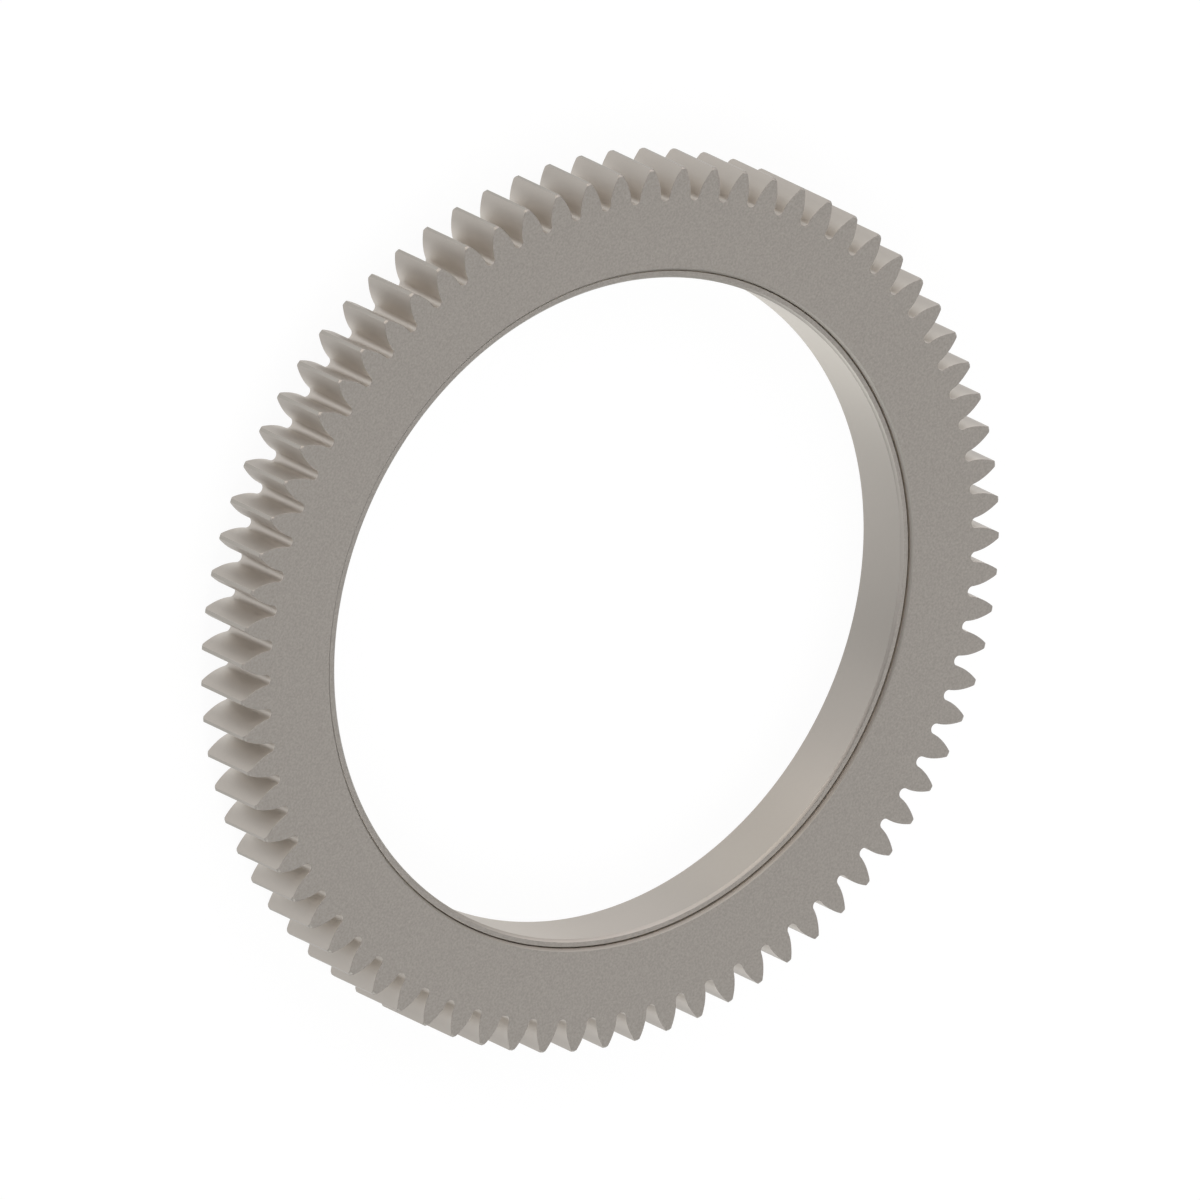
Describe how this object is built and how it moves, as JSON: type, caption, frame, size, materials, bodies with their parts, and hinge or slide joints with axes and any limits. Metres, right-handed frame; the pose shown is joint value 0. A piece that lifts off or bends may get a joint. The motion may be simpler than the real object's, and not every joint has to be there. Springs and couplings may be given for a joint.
{
  "type": "idler gear",
  "caption": "Thin ring-shaped spur idler gear with tall, pointed, crowned teeth and a slim plain bush pressed into its large bore.",
  "frame": {"origin": "centre of the gear's back face, on the axis of the bore", "axes": "+Z along the axis towards the front face, which the bush is set in from; +X through the middle of a tooth; +Y completes the right-handed frame"},
  "size_m": [0.1539, 0.154, 0.0125],
  "materials": {
    "gear_steel": "finely ground faces and smooth, satin tooth flanks",
    "bush_steel": "finely turned end and a smooth, fine-bored inside"
  },
  "bodies": {
    "root": {"gear": "gear_steel", "bush": "bush_steel"}
  },
  "joints": []
}
